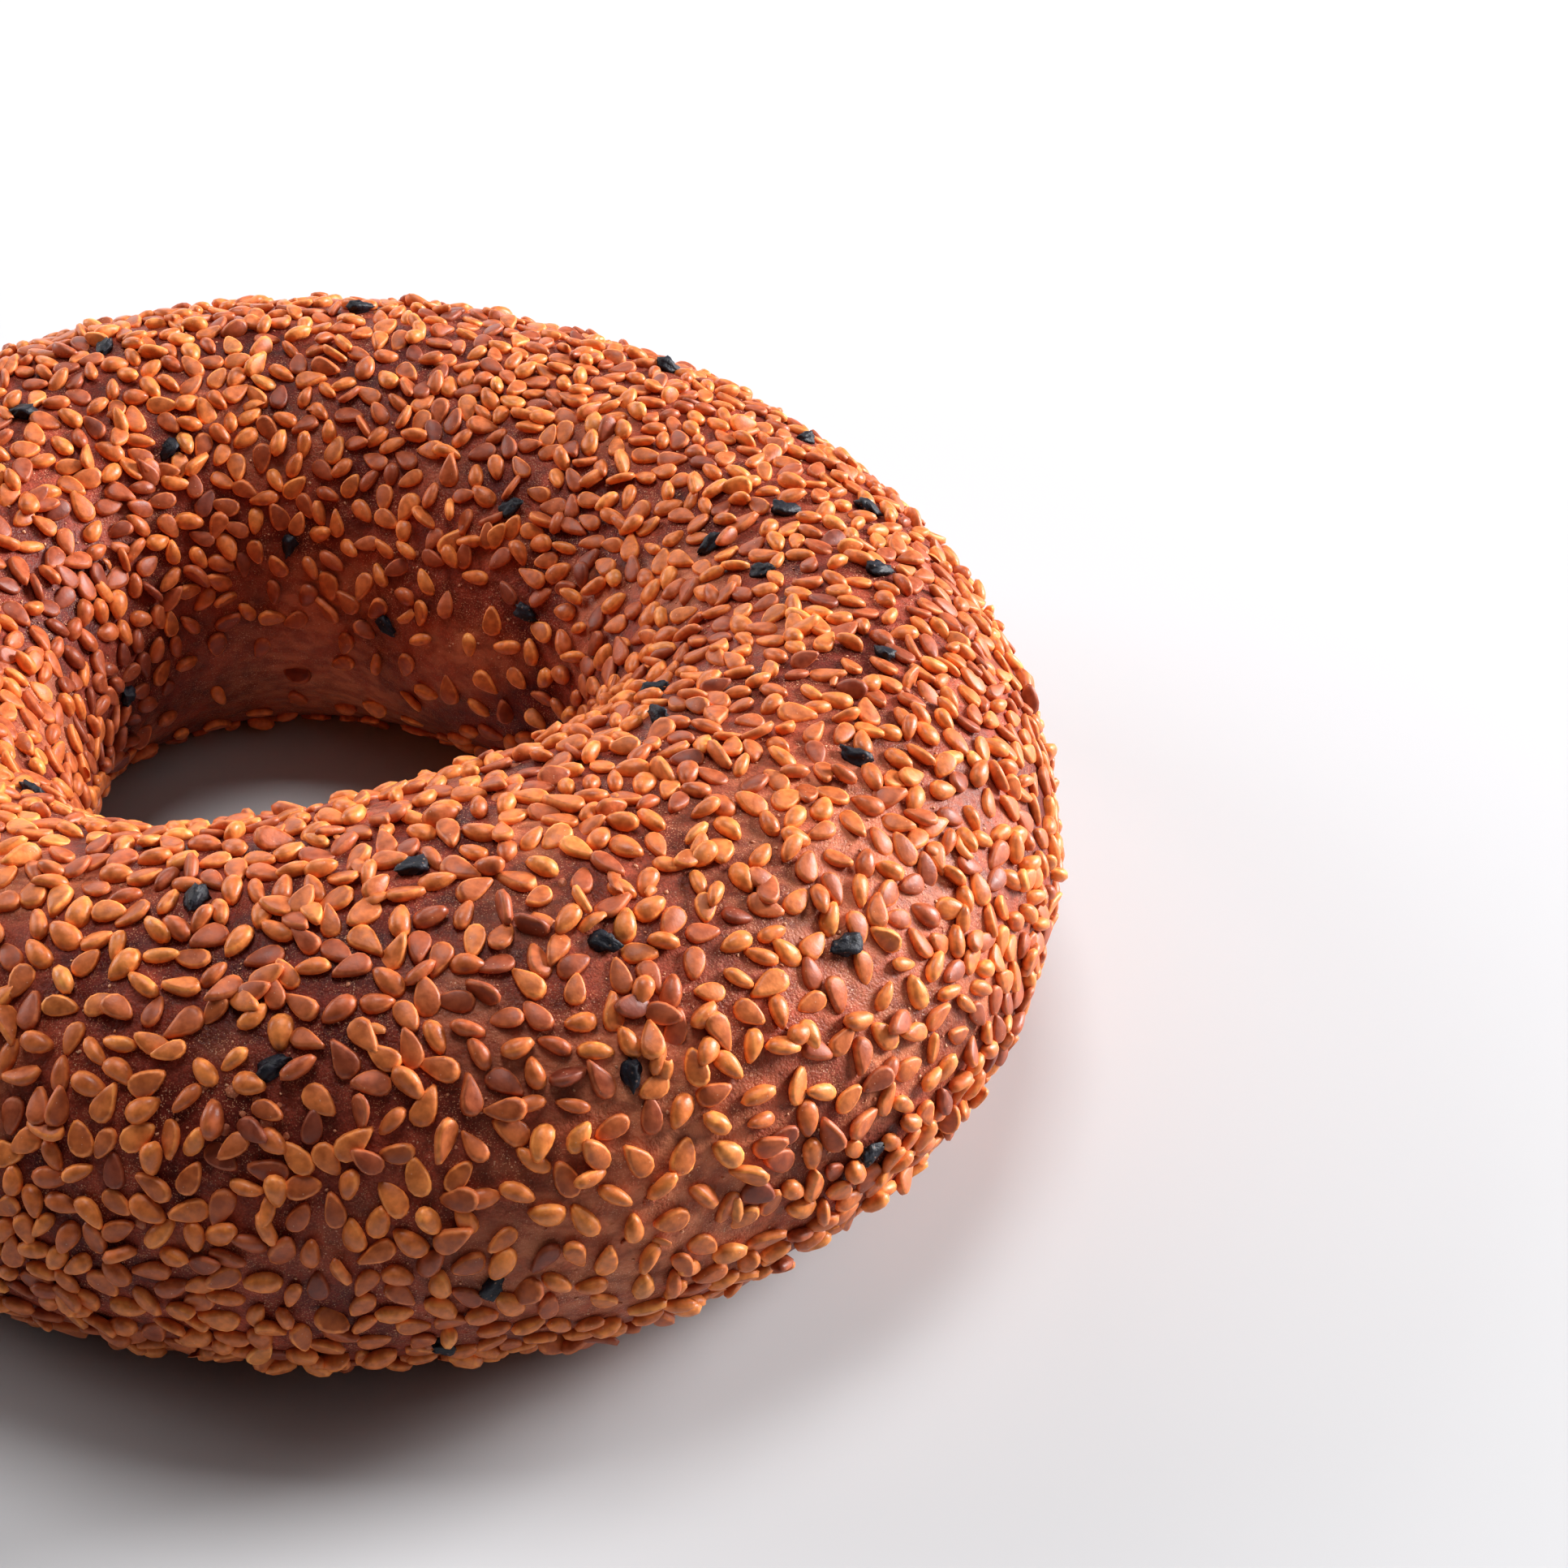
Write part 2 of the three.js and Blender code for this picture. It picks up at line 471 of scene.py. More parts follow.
# Pulls a disc up level by level, and returns its last face
def stackLevels(bm, face, levels):
    bmesh.ops.scale(bm, verts=face.verts[:], vec=(levels[0][0], levels[0][0], 1))
    bmesh.ops.translate(bm, verts=face.verts[:], vec=(0, 0, levels[0][1]))
    for (share, height), (nextShare, nextHeight) in zip(levels, levels[1:]):
        face = bmesh.ops.extrude_discrete_faces(bm, faces=[face])["faces"][0]
        bmesh.ops.scale(bm, verts=face.verts[:], vec=(nextShare / share, nextShare / share, 1))
        bmesh.ops.translate(bm, verts=face.verts[:], vec=(0, 0, nextHeight - height))
    return face


# A finished body as plain arrays: points, their places for the materials to read, face corners, face sizes
def bodyArrays(bm, own=None):
    bmesh.ops.recalc_face_normals(bm, faces=bm.faces[:])
    bm.verts.index_update()
    points = np.array([v.co for v in bm.verts])
    corners = np.array([v.index for face in bm.faces for v in face.verts])
    sizes = np.array([len(face.verts) for face in bm.faces])
    bm.free()
    return points, points if own is None else own, corners, sizes


def makeSeedBody(look):
    bm = bmesh.new()
    bmesh.ops.create_circle(bm, cap_ends=True, segments=seedSides, radius=0.5)
    top = stackLevels(bm, bm.faces[:][0], look["levels"])
    crown = bmesh.ops.poke(bm, faces=[top])["verts"][0]
    crown.co.z = look["middle"]
    bmesh.ops.holes_fill(bm, edges=[edge for edge in bm.edges if edge.is_boundary], sides=0)
    own = np.array([(v.co.x, 2 * v.co.xy.length, v.co.z) for v in bm.verts])
    wobble = draw.uniform(-0.035, 0.035, 2)
    phase = draw.uniform(0, 2 * math.pi, 2)
    for vert in bm.verts:
        way = math.atan2(vert.co.y, vert.co.x)
        share = 2 * vert.co.xy.length
        uneven = 1 + sum(wobble[k] * math.sin((k + 2) * way + phase[k]) for k in range(2))
        tip = max(0, math.cos(way)) ** 4 * share
        vert.co.x = vert.co.x * uneven + look["point"] * tip
        vert.co.y *= look["girth"] * (1 - look["taper"] * math.cos(way)) * uneven
    return bodyArrays(bm, own)


# Stores three channels for each vertex, which a material reads as a colour
def storeColours(mesh, name, colours):
    colours = np.concatenate([colours, np.ones((len(colours), 1))], axis=1).astype(np.float32)
    mesh.attributes.new(name, "FLOAT_COLOR", "POINT").data.foreach_set("color", colours.ravel())


# Joins many placed copies of a few bodies into one mesh, and stores what the materials read
def joinCopies(name, bodies, copies, colourName="tone"):
    points, corners, sizes, own, tones = [], [], [], [], []
    offset = 0
    for k, (bodyPoints, bodyOwn, bodyCorners, bodySizes) in enumerate(bodies):
        chosen = np.flatnonzero(copies["body"] == k)
        if not len(chosen):
            continue
        count = len(bodyPoints)
        local = np.repeat(bodyPoints[None], len(chosen), axis=0) * copies["scale"][chosen][:, None, :]
        reach = local[..., 0] / copies["scale"][chosen][:, None, 0]
        local[..., 1] += copies["bow"][chosen][:, None] * reach ** 2
        local[..., 2] -= copies["curl"][chosen][:, None] * reach ** 2
        placed = np.einsum("nvk,nkj->nvj", local, copies["axes"][chosen])
        placed = placed + copies["origin"][chosen][:, None, :]
        shift = offset + count * np.arange(len(chosen))
        points.append(placed.reshape(-1, 3))
        corners.append((bodyCorners[None] + shift[:, None]).ravel())
        sizes.append(np.tile(bodySizes, len(chosen)))
        own.append(np.tile(bodyOwn, (len(chosen), 1)))
        tones.append(np.repeat(copies["tone"][chosen], count, axis=0))
        offset += count * len(chosen)
    points = np.concatenate(points)
    points[:, 2] = np.maximum(points[:, 2], 0)  # pressed flat where they meet the table
    corners = np.concatenate(corners)
    sizes = np.concatenate(sizes)
    mesh = bpy.data.meshes.new(name)
    mesh.vertices.add(len(points))
    mesh.vertices.foreach_set("co", points.astype(np.float32).ravel())
    mesh.loops.add(len(corners))
    mesh.loops.foreach_set("vertex_index", corners.astype(np.int32))
    mesh.polygons.add(len(sizes))
    mesh.polygons.foreach_set("loop_start", np.concatenate([[0], np.cumsum(sizes)[:-1]]).astype(np.int32))
    mesh.update(calc_edges=True)
    ownPlace = mesh.attributes.new("ownPlace", "FLOAT_VECTOR", "POINT")
    ownPlace.data.foreach_set("vector", np.concatenate(own).astype(np.float32).ravel())
    storeColours(mesh, colourName, np.concatenate(tones))
    mesh.validate()
    return mesh


def addPiece(name, mesh, material):
    mesh.shade_smooth()
    mesh.materials.append(material)
    piece = addObject(name, mesh)
    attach(piece, "root")
    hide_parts("simit")


# Turns each copy's axes: lean lifts its point, roll tips it over its long side
def copyAxes(angle, along, across, normal, lean, roll):
    angle, lean, roll = angle[:, None], lean[:, None], roll[:, None]
    ahead = np.cos(angle) * along + np.sin(angle) * across
    side = np.cross(normal, ahead)
    tipped = np.cos(lean) * ahead + np.sin(lean) * normal
    up = np.cross(tipped, side)
    turnedSide = np.cos(roll) * side + np.sin(roll) * up
    return np.stack([tipped, turnedSide, np.cross(tipped, turnedSide)], axis=1)


def placeOf(seeds, chosen, extraRise):
    points, along, across, normal, _, _ = crustFrames(seeds["turn"][chosen], seeds["lift"][chosen])
    angle, lean, roll = [seeds[key][chosen] for key in ("angle", "lean", "roll")]
    axes = copyAxes(angle, along, across, normal, lean, roll)
    rise = lumpsAt(points) + patchesAt(points, dents) * mm + extraRise + seeds["rise"][chosen]
    return points + rise[:, None] * normal, axes


# Black seeds lie where the photo shows them, and at random on the hidden sides
def blackSpots():
    spots = [atPixel(pixel) for pixel in blackPixels]
    turn, lift = evenDraws(4000)
    behind = (np.sin(turn) * np.cos(lift) > 0.15) | (np.cos(turn) < -0.6)
    clear = behind & (lift < 2.5) & (lift > -1.0)  # none near the base
    hidden = np.stack([turn[clear], lift[clear]], axis=1)[:scatter["hiddenBlack"]]
    return np.concatenate([np.array(spots), hidden]).T


# Seeds that lie half on another seed: each takes the side of its carrier where it covers least
def stackSeeds(seeds, fixed):
    points, along, across, _, alongSize, acrossSize = crustFrames(seeds["turn"], seeds["lift"])
    tree = treeOf(points)
    crowded = patchShares(points)[fixed:] ** 4  # mostly where the seeds lie closest
    carriers = draw.choice(np.arange(fixed, len(points)), stacked["tries"] * stacked["count"], replace=False,
                           p=crowded / crowded.sum())
    low, high = stacked["liftRange"]
    found = []
    for carrier in carriers:
        if seeds["lift"][carrier] < low or seeds["lift"][carrier] > high:
            continue
        best = None
        for way in draw.uniform(0, 2 * math.pi) + np.arange(stacked["ways"]) * 2 * math.pi / stacked["ways"]:
            ahead = math.cos(way) * along[carrier] + math.sin(way) * across[carrier]
            near = tree.find_range(points[carrier] + stacked["probeReach"] * ahead, stacked["probeRadius"])
            crowd = sum(stacked["probeRadius"] - distance for _, _, distance in near)
            if best is None or crowd < best[0]:
                best = (crowd, way)
        found.append((best[0], carrier, best[1]))
    found = sorted(found)[:stacked["count"]]
    carrier = np.array([entry[1] for entry in found])
    way = np.array([entry[2] for entry in found])
    outward = draw.uniform(0, 1, len(found)) < 0.5  # the point faces away from the carrier
    reach = draw.uniform(*stacked["reach"], len(found))
    top = {key: values[carrier].copy() for key, values in seeds.items()}
    top["turn"] += reach * np.cos(way) / alongSize[carrier]
    top["lift"] += reach * np.sin(way) / acrossSize[carrier]
    top["angle"] = way + np.where(outward, 0, math.pi) + draw.normal(0, 0.35, len(found))
    top["length"] = scatter["usualLength"] * draw.uniform(*stacked["length"], len(found))
    top["kind"] = draw.integers(0, len(sesameKinds), len(found))
    top["body"] = draw.integers(0, bodiesPerKind, len(found))
    top["lean"] = np.where(outward, -1, 1) * draw.uniform(*stacked["lean"], len(found))
    top["roll"] = draw.normal(0, 0.15, len(found))
    top["rise"] = draw.uniform(*stacked["rise"], len(found))
    return {key: np.concatenate([seeds[key], top[key]]) for key in seeds}


def scatterSeeds():
    blackTurn, blackLift = blackSpots()
    fixed = len(blackTurn)
    turn, lift = seedSpots(crustPoints(blackTurn, blackLift))
    turn = np.concatenate([blackTurn, turn])
    lift = np.concatenate([blackLift, lift])
    count = len(turn)
    anyWay = draw.uniform(0, 2 * math.pi, count)
    level = draw.normal(0, 0.45, count) + math.pi * (draw.uniform(0, 1, count) < 0.5)
    rolled = (np.sin(lift) < -0.25) & (draw.uniform(0, 1, count) < 0.55)  # low seeds lie along the ring
    crowd = np.clip(patchesAt(crustPoints(turn, lift), densePatches), 0, 0.6)
    tumble = 1 + 1.6 * crowd  # seeds lie less flat where they are crowded
    onEdge = draw.uniform(0, 1, count) < 0.09 * tumble
    edgeRoll = draw.uniform(0.7, 1.35, count) * np.where(draw.uniform(0, 1, count) < 0.5, -1, 1)
    onBase = np.where(ring["widestLevel"] + np.sin(lift) < 0.05, 0.2, 1)  # nearly flat under the ring
    seeds = {
        "turn": turn,
        "lift": lift,
        "angle": np.where(rolled, level, anyWay),
        "length": scatter["usualLength"] * draw.uniform(0.88, 1.10, count),
        "girth": np.where(onEdge, 0.72, 1.0),
        "kind": draw.choice(len(sesameKinds), count, p=[k["share"] for k in sesameKinds.values()]),
        "body": draw.integers(0, bodiesPerKind, count),
        "lean": onBase * tumble * draw.normal(0, 0.15, count),
        "roll": onBase * np.where(onEdge, edgeRoll, tumble * draw.normal(0, 0.19, count)),
        "rise": onBase * (np.where(onEdge, 0.32 * mm, draw.normal(0, 0.07 * mm, count))
                           + crowd * draw.uniform(0, 0.5 * mm, count)),
    }
    seeds["length"][:fixed] = scatter["blackLength"]
    spreadSeeds(seeds, fixed)
    seeds = stackSeeds(seeds, fixed)
    seeds["black"] = np.arange(len(seeds["turn"])) < fixed
    return seeds


seeds = scatterSeeds()
print("seeds placed:", len(seeds["turn"]))


# Materials
def newGroup(name, inputs, outputs):
    group = bpy.data.node_groups.new(name, "ShaderNodeTree")
    for way, sockets in (("INPUT", inputs), ("OUTPUT", outputs)):
        for socketName, kind in sockets.items():
            group.interface.new_socket(socketName, in_out=way, socket_type="NodeSocket" + kind)
    return group, group.nodes.new("NodeGroupInput").outputs, group.nodes.new("NodeGroupOutput").inputs


# Adds a node; inputs maps a socket's name or number to a value or to the socket that feeds it
def addNode(tree, kind, inputs=None, **settings):
    node = tree.nodes.new("ShaderNode" + kind)
    for key, value in settings.items():
        setattr(node, key, value)
    for key, value in (inputs or {}).items():
        if isinstance(value, bpy.types.NodeSocket):
            tree.links.new(value, node.inputs[key])
        else:
            node.inputs[key].default_value = value
    return node


def mixColours(tree, factor, low, high, blend="MIX"):
    node = addNode(tree, "Mix", {0: factor, 6: low, 7: high}, data_type="RGBA", blend_type=blend)
    return node.outputs[2]


def tint(tree, colour, by):
    return mixColours(tree, 1.0, colour, by, "MULTIPLY")


def calc(tree, operation, a, b=0.0, clamp=False):
    return addNode(tree, "Math", {0: a, 1: b}, operation=operation, use_clamp=clamp).outputs[0]


def remap(tree, value, fromLow, fromHigh, toLow=0.0, toHigh=1.0):
    node = addNode(tree, "MapRange", {0: value, 1: fromLow, 2: fromHigh, 3: toLow, 4: toHigh})
    return node.outputs[0]


def noiseNode(tree, vector, scale, detail):
    return addNode(tree, "TexNoise", {"Vector": vector, "Scale": scale, "Detail": detail}).outputs[0]


# Small grains: a share of a lattice's cells has one spot each
def makeSpecks():
    group, given, result = newGroup(
        "specks",
        {"Vector": "Vector", "Scale": "Float", "Size": "Float", "Amount": "Float"},
        {"Mask": "Float"},
    )
    cells = addNode(group, "TexVoronoi", {"Vector": given["Vector"], "Scale": given["Scale"]})
    chance = addNode(group, "SeparateColor", {0: cells.outputs["Color"]}).outputs[0]
    chosen = calc(group, "LESS_THAN", chance, given["Amount"])
    near = calc(group, "SUBTRACT", given["Size"], cells.outputs["Distance"])
    spot = calc(group, "MULTIPLY", near, 8.0, clamp=True)
    group.links.new(calc(group, "MULTIPLY", spot, chosen), result["Mask"])
    return group


# Two colours mixed by soft noise
def makeMottle():
    group, given, result = newGroup(
        "mottle",
        {"Vector": "Vector", "Scale": "Float", "Contrast": "Float", "Dark": "Color", "Light": "Color"},
        {"Color": "Color", "Mask": "Float"},
    )
    cloud = noiseNode(group, given["Vector"], given["Scale"], 2.0)
    low = calc(group, "SUBTRACT", 0.5, given["Contrast"])
    high = calc(group, "ADD", 0.5, given["Contrast"])
    mask = remap(group, cloud, low, high)
    group.links.new(mixColours(group, mask, given["Dark"], given["Light"]), result["Color"])
    group.links.new(mask, result["Mask"])
    return group


# A baked skin's fine relief: soft bumps with grains on them
def makeSkinRelief():
    group, given, result = newGroup(
        "skinRelief",
        {"Vector": "Vector", "Soft scale": "Float", "Grain scale": "Float", "Grain share": "Float"},
        {"Height": "Float"},
    )
    soft = noiseNode(group, given["Vector"], given["Soft scale"], 1.0)
    grain = noiseNode(group, given["Vector"], given["Grain scale"], 1.0)
    part = calc(group, "MULTIPLY", grain, given["Grain share"])
    group.links.new(calc(group, "ADD", soft, part), result["Height"])
    return group


specks = makeSpecks()
mottle = makeMottle()
skinRelief = makeSkinRelief()


def addSpecks(tree, vector, scale, size, amount):
    inputs = {"Vector": vector, "Scale": scale, "Size": size, "Amount": amount}
    return addNode(tree, "Group", inputs, node_tree=specks).outputs["Mask"]


def addMottle(tree, vector, scale, contrast, dark, light):
    inputs = {"Vector": vector, "Scale": scale, "Contrast": contrast, "Dark": dark, "Light": light}
    return addNode(tree, "Group", inputs, node_tree=mottle).outputs


def addRelief(tree, vector, softScale, grainScale, grainShare):
    inputs = {"Vector": vector, "Soft scale": softScale, "Grain scale": grainScale, "Grain share": grainShare}
    return addNode(tree, "Group", inputs, node_tree=skinRelief).outputs["Height"]


def feedShader(tree, shader, colour, height, strength, distance):
    bump = addNode(tree, "Bump", {"Height": height, "Strength": strength, "Distance": distance})
    tree.links.new(bump.outputs[0], shader.inputs["Normal"])
    tree.links.new(colour, shader.inputs["Base Color"])


# The three channels of an attribute
def channelsOf(tree, name):
    colour = addNode(tree, "Attribute", attribute_name=name).outputs["Color"]
    return addNode(tree, "SeparateColor", {0: colour}).outputs


def newMaterial(name, roughness, specular):
    material = bpy.data.materials.new(name)
    material.use_nodes = True
    tree = material.node_tree
    shader = tree.nodes["Principled BSDF"]
    shader.inputs["Roughness"].default_value = roughness
    shader.inputs["Specular IOR Level"].default_value = specular
    coords = addNode(tree, "TexCoord").outputs["Object"]
    return material, tree, shader, coords


crustLook = {
    "dark": (0.105, 0.009, 0.005, 1),  # deep red brown
    "brown": (0.31, 0.052, 0.025, 1),
    "tan": (0.74, 0.245, 0.115, 1),
    "flour": (0.78, 0.36, 0.19, 1),    # the finest pale grains
    "crumb": (0.85, 0.52, 0.34, 1),    # single larger ones
    "underside": (0.50, 0.18, 0.08, 1),
    # the darker patches: partly uneven baking, partly painted shade
    "bakedAndShaded": (0.62, 0.50, 0.56, 1),    # multiplies the colour of the darker patches
    "roughness": 0.50,
    "bump": 0.85,
    "tanSize": 11 * mm,                # of the chance tan patches
    "bakedAndShadedShare": 3,                   # how far the darker patches go, for each unit of bakedAndShadedPatches
    "undersideHeight": 2.5 * mm,       # the underside's colour fades out up to here
    "undersideShare": 0.6,
}


def makeCrustMaterial():
    material, tree, shader, coords = newMaterial("bakedCrust", crustLook["roughness"], 0.2)
    tan, bakedAndShaded, under = channelsOf(tree, "crustLook")
    base = addMottle(tree, coords, 130.0, 0.14, crustLook["dark"], crustLook["brown"])
    fine = addMottle(tree, coords, 900.0, 0.16, (0.70, 0.64, 0.62, 1), (1.30, 1.34, 1.34, 1))
    colour = tint(tree, base["Color"], fine["Color"])
    grit = remap(tree, noiseNode(tree, coords, 5200.0, 1.0), 0.3, 0.7)
    colour = tint(tree, colour, mixColours(tree, grit, (0.76, 0.70, 0.68, 1), (1.26, 1.30, 1.32, 1)))
    # smeared tan patches, longer one way than the other
    smear = addNode(tree, "Mapping", {"Vector": coords, "Rotation": (0.3, 0.5, 0.7),
                                      "Scale": (0.55, 1.5, 1.1)})
    worn = addMottle(tree, smear.outputs[0], 620.0, 0.10, (0, 0, 0, 1), (1, 1, 1, 1))["Mask"]
    rubbed = calc(tree, "MULTIPLY", remap(tree, worn, 0.0, 1.0, 0.36, 0.88), tan, clamp=True)
    colour = mixColours(tree, rubbed, colour, crustLook["tan"])
    # darker patches, partly uneven baking and partly painted shade
    colour = mixColours(tree, bakedAndShaded, colour, tint(tree, colour, crustLook["bakedAndShaded"]))
    # grains: a dense fine layer that comes and goes, and a few larger ones
    grains = addSpecks(tree, coords, 7400.0, 0.46, 0.36)
    clouds = noiseNode(tree, coords, 330.0, 2.0)
    dusted = calc(tree, "MULTIPLY", grains, remap(tree, clouds, 0.38, 0.66, 0.10, 0.66))
    colour = mixColours(tree, dusted, colour, crustLook["flour"])
    spots = addSpecks(tree, coords, 3100.0, 0.27, 0.22)
    spots = calc(tree, "MULTIPLY", spots, remap(tree, clouds, 0.42, 0.64, 0.03, 0.80))
    colour = mixColours(tree, spots, colour, crustLook["crumb"])
    colour = mixColours(tree, under, colour, crustLook["underside"])
    # relief: skin, and small burst blisters
    pits = calc(tree, "MULTIPLY", addSpecks(tree, coords, 620.0, 0.26, 0.12), 0.9)
    height = calc(tree, "SUBTRACT", addRelief(tree, coords, 900.0, 3600.0, 1.0), pits)
    feedShader(tree, shader, colour, height, crustLook["bump"], 0.12 * mm)
    rough = remap(tree, fine["Mask"], 0.0, 1.0, crustLook["roughness"] - 0.05, crustLook["roughness"] + 0.12)
    tree.links.new(rough, shader.inputs["Roughness"])
    return material


seedLook = {
    # tones from darkest to palest
    "tones": [(0.0, (0.29, 0.054, 0.021)), (0.30, (0.54, 0.114, 0.033)), (0.60, (0.82, 0.216, 0.047)),
              (0.85, (0.92, 0.278, 0.060)), (1.0, (0.95, 0.328, 0.078))],
    "face": (0.60, 0.50, 0.50, 1),  # multiplies the colour inside the rim, which is browner
    # painted highlight: the raised rim is drawn lighter where it catches the light, with a painted glow of
    # light through its thin edge
    "rimHighlight": (1.16, 1.36, 1.36, 1),   # multiplies the colour of the rim
    "tip": (0.72, 0.60, 0.56, 1),   # multiplies the colour at the pointed end
    "dust": (0.85, 0.55, 0.36, 1),
    "bump": 0.24,
}


# look is the kind of seed
def makeSeedMaterial(name, look):
    material, tree, shader, coords = newMaterial(name, look["roughness"], 0.42)
    tone, faceChance, tipChance = channelsOf(tree, "tone")  # one draw of each for every seed
    own = addNode(tree, "Attribute", attribute_name="ownPlace").outputs["Vector"]
    along, outline, level = addNode(tree, "SeparateXYZ", {0: own}).outputs
    ramp = addNode(tree, "ValToRGB", {0: tone})
    steps = ramp.color_ramp.elements
    for position, colour in seedLook["tones"]:
        step = steps[0] if position == 0 else steps[-1] if position == 1 else steps.new(position)
        step.position = position
        step.color = (*colour, 1)
    fine = addMottle(tree, coords, 1200.0, 0.18, (0.74, 0.65, 0.60, 1), (1.19, 1.23, 1.22, 1))
    colour = tint(tree, ramp.outputs[0], fine["Color"])
    edge = calc(tree, "ADD", outline, remap(tree, fine["Mask"], 0.0, 1.0, -0.04, 0.04))
    inside = calc(tree, "MULTIPLY", remap(tree, edge, 0.86, 0.74), remap(tree, level, 0.15, 0.27))
    face = calc(tree, "MULTIPLY", inside, remap(tree, faceChance, 0.0, 1.0, 0.2 * look["face"], look["face"]))
    tinted = tint(tree, colour, seedLook["face"])
    # painted highlight: a lighter band round the rim, on the seed's upper side
    rimHighlight = calc(tree, "MULTIPLY", remap(tree, edge, 0.78, 0.90), remap(tree, level, 0.0, 0.3))
    colour = mixColours(tree, rimHighlight, colour, tint(tree, colour, seedLook["rimHighlight"]))
    colour = mixColours(tree, face, colour, tinted)
    atTip = calc(tree, "MULTIPLY", remap(tree, along, 0.32, 0.5), remap(tree, tipChance, 0.4, 1.0))
    colour = mixColours(tree, atTip, colour, tint(tree, colour, seedLook["tip"]))
    dust = calc(tree, "MULTIPLY", addSpecks(tree, coords, 3400.0, 0.24, 0.05), 0.5)
    colour = mixColours(tree, dust, colour, seedLook["dust"])
    height = addRelief(tree, coords, 1100.0, 4200.0, 0.6)
    feedShader(tree, shader, colour, height, seedLook["bump"], 0.1 * mm)
    rough = remap(tree, fine["Mask"], 0.0, 1.0, look["roughness"] - 0.05, look["roughness"] + 0.08)
    tree.links.new(rough, shader.inputs["Roughness"])
    return material


blackLook = {
    "dark": (0.003, 0.003, 0.007, 1),
    "light": (0.009, 0.009, 0.019, 1),
    "dust": (0.25, 0.14, 0.10, 1),
}


def makeBlackMaterial():
    material, tree, shader, coords = newMaterial("blackSeed", 0.56, 0.35)
    body = addMottle(tree, coords, 1400.0, 0.15, blackLook["dark"], blackLook["light"])
    dusty = remap(tree, channelsOf(tree, "tone")[0], 0.2, 1.0, 0.12, 0.75)
    dust = calc(tree, "MULTIPLY", addSpecks(tree, coords, 2600.0, 0.34, 0.22), dusty)
    colour = mixColours(tree, dust, body["Color"], blackLook["dust"])
    feedShader(tree, shader, colour, addRelief(tree, coords, 1500.0, 5000.0, 0.5), 0.7, 0.15 * mm)
    return material


crumbLook = {"dark": (0.48, 0.15, 0.08, 1), "light": (0.84, 0.46, 0.27, 1)}


def makeCrumbMaterial():
    material, tree, shader, coords = newMaterial("crumb", 0.7, 0.3)
    colour = addMottle(tree, coords, 420.0, 0.2, crumbLook["dark"], crumbLook["light"])["Color"]
    feedShader(tree, shader, colour, addRelief(tree, coords, 4000.0, 9000.0, 0.5), 0.4, 0.05 * mm)
    return material


crustMaterial = makeCrustMaterial()
seedMaterials = {name: makeSeedMaterial(name, look) for name, look in sesameKinds.items()}
blackMaterial = makeBlackMaterial()
crumbMaterial = makeCrumbMaterial()
print("materials made")


# The dressed dough. An attribute's channels hold how tan it is, how much darker it is (partly uneven baking,
# partly painted shade) and how far under the ring it is.
tanPatches = [
    ((790, 1510), 12, 1.0),
    ((900, 1400), 7, 0.2),
    ((620, 1560), 5, 0.5),
    ((640, 1120), 4, 0.4),
    ((1050, 1050), 15, 0.60),
    ((1180, 1220), 13, 0.20),
    ((400, 830), 13, 1.0),
]


def dressCrust():
    mesh = bpy.data.meshes.new("simitCrust")
    doughMesh.to_mesh(mesh)
    points = np.empty(len(mesh.vertices) * 3, np.float32)
    mesh.vertices.foreach_get("co", points)
    points = points.reshape(-1, 3)
    chance = np.array([noiseAt(Vector(p), crustLook["tanSize"], (5, 1, 8)) for p in points])
    tan = np.clip(patchesAt(points, tanPatches) + np.clip(chance * 2 - 0.35, 0, 0.8), 0, 1)
    # darker patches, partly painted shade; the paler ones below 0 are painted light
    bakedAndShaded = crustLook["bakedAndShadedShare"] * patchesAt(points, bakedAndShadedPatches)
    under = np.clip(1 - points[:, 2] / crustLook["undersideHeight"], 0, 1) * crustLook["undersideShare"]
    storeColours(mesh, "crustLook", np.stack([tan, bakedAndShaded, under], axis=1))
    addPiece("simitCrust", mesh, crustMaterial)


dressCrust()
print("crust dressed")


def makeSesame(name, look, number):
    bodies = [makeSeedBody(look) for _ in range(bodiesPerKind)]
    chosen = np.flatnonzero((seeds["kind"] == number) & ~seeds["black"])
    count = len(chosen)
    origin, axes = placeOf(seeds, chosen, look["rise"])
    # the seeds' tone follows the same patches: partly uneven baking, partly painted shade and painted light
    bakedAndShadedShift = patchesAt(origin, bakedAndShadedPatches)
    length = seeds["length"][chosen] * look["length"] / scatter["usualLength"]
    scale = np.stack([length, length * draw.uniform(0.92, 1.10, count),
                      look["thickness"] * draw.uniform(0.85, 1.18, count)], axis=1)
    copies = {
        "body": seeds["body"][chosen], "origin": origin, "axes": axes, "scale": scale,
        "bow": draw.normal(0, 0.30 * mm, count), "curl": draw.normal(0.15 * mm, 0.35 * mm, count),
        "tone": np.stack([np.clip(draw.normal(look["tone"], 0.17, count) - bakedAndShadedShift, 0, 1),
                          draw.uniform(0, 1, count), draw.uniform(0, 1, count)], axis=1),
    }
    addPiece(name, joinCopies(name, bodies, copies), seedMaterials[name])
    print(name, "joined:", count)


for number, (name, look) in enumerate(sesameKinds.items()):
    makeSesame(name, look, number)


# Black seeds: three-sided, wrinkled and pinched at one end
blackSeed = {
    "bodies": 5,  # different shapes
    "length": 2.9 * mm,
    "width": 1.75 * mm,
    "thickness": 1.45 * mm,
    "rise": 0.35 * mm,
}


